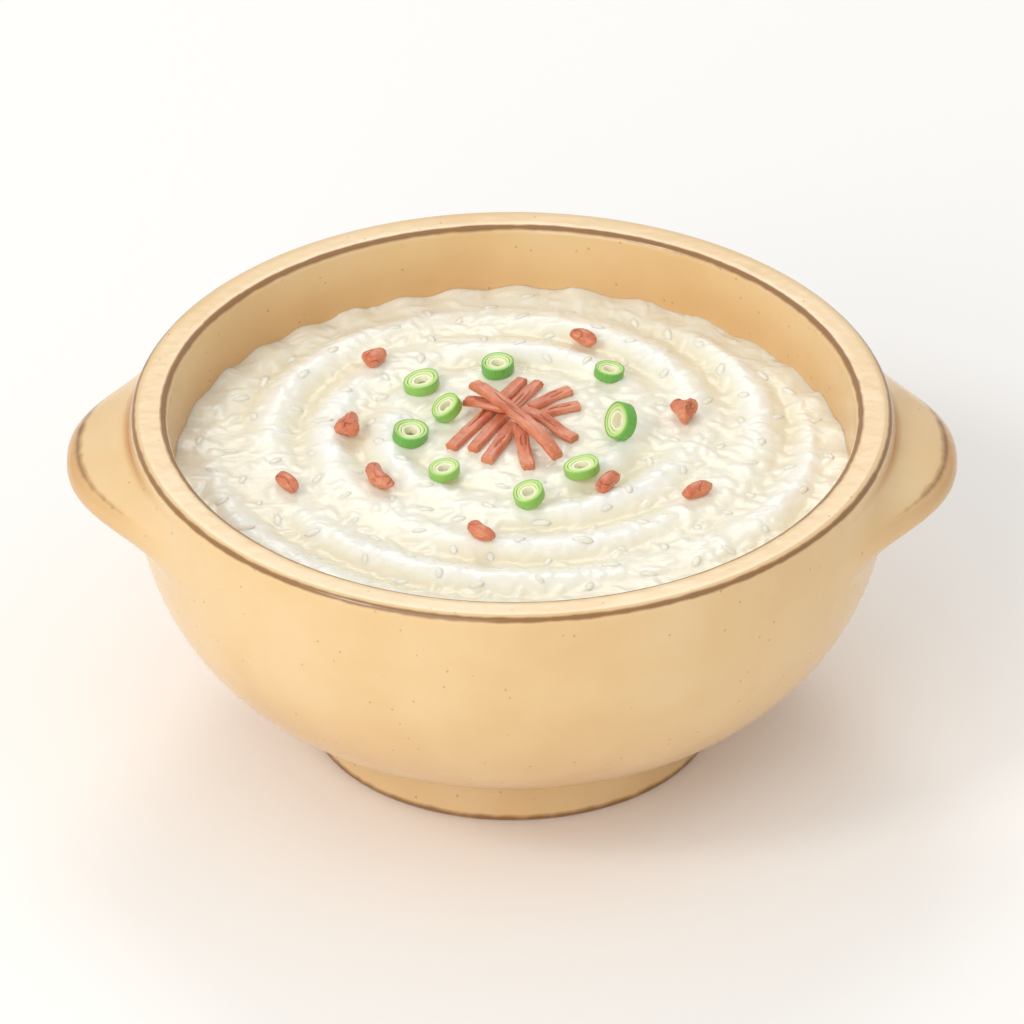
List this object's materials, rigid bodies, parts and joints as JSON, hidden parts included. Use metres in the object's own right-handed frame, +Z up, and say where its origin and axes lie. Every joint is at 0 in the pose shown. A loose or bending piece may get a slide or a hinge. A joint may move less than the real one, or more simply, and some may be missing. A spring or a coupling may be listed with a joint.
{
  "type": "bowl of congee",
  "caption": "Round two-lugged stoneware bowl on a foot ring, filled with rice congee and topped with strips and bits of cured ham and spring onion rings.",
  "frame": {"origin": "centre of the foot ring's underside, where the bowl stands", "axes": "+Z up through the middle of the rim; +X along the line from lug to lug; -Y towards the side the picture shows"},
  "size_m": [0.2102, 0.18, 0.084],
  "materials": {
    "glaze": "sand-coloured gloss glaze on stoneware, bare on the foot's edge",
    "congee": "thick rice porridge, wet and slightly translucent",
    "ham": "cured ham, moist, with a fine muscle grain",
    "spring_onion": "fresh leaf, green outside and pale where cut"
  },
  "bodies": {
    "root": {"bowl": "glaze", "congee": "congee", "ham_strip_1": "ham", "ham_strip_2": "ham", "ham_strip_3": "ham", "ham_strip_4": "ham", "ham_strip_5": "ham", "ham_strip_6": "ham", "ham_strip_7": "ham", "ham_strip_8": "ham", "ham_strip_9": "ham", "spring_onion_1": "spring_onion", "spring_onion_2": "spring_onion", "spring_onion_3": "spring_onion", "spring_onion_4": "spring_onion", "spring_onion_5": "spring_onion", "spring_onion_6": "spring_onion", "spring_onion_7": "spring_onion", "spring_onion_8": "spring_onion", "spring_onion_9": "spring_onion", "ham_bit_1": "ham", "ham_bit_2": "ham", "ham_bit_3": "ham", "ham_bit_4": "ham", "ham_bit_5": "ham", "ham_bit_6": "ham", "ham_bit_7": "ham", "ham_bit_8": "ham", "ham_bit_9": "ham"}
  },
  "joints": []
}
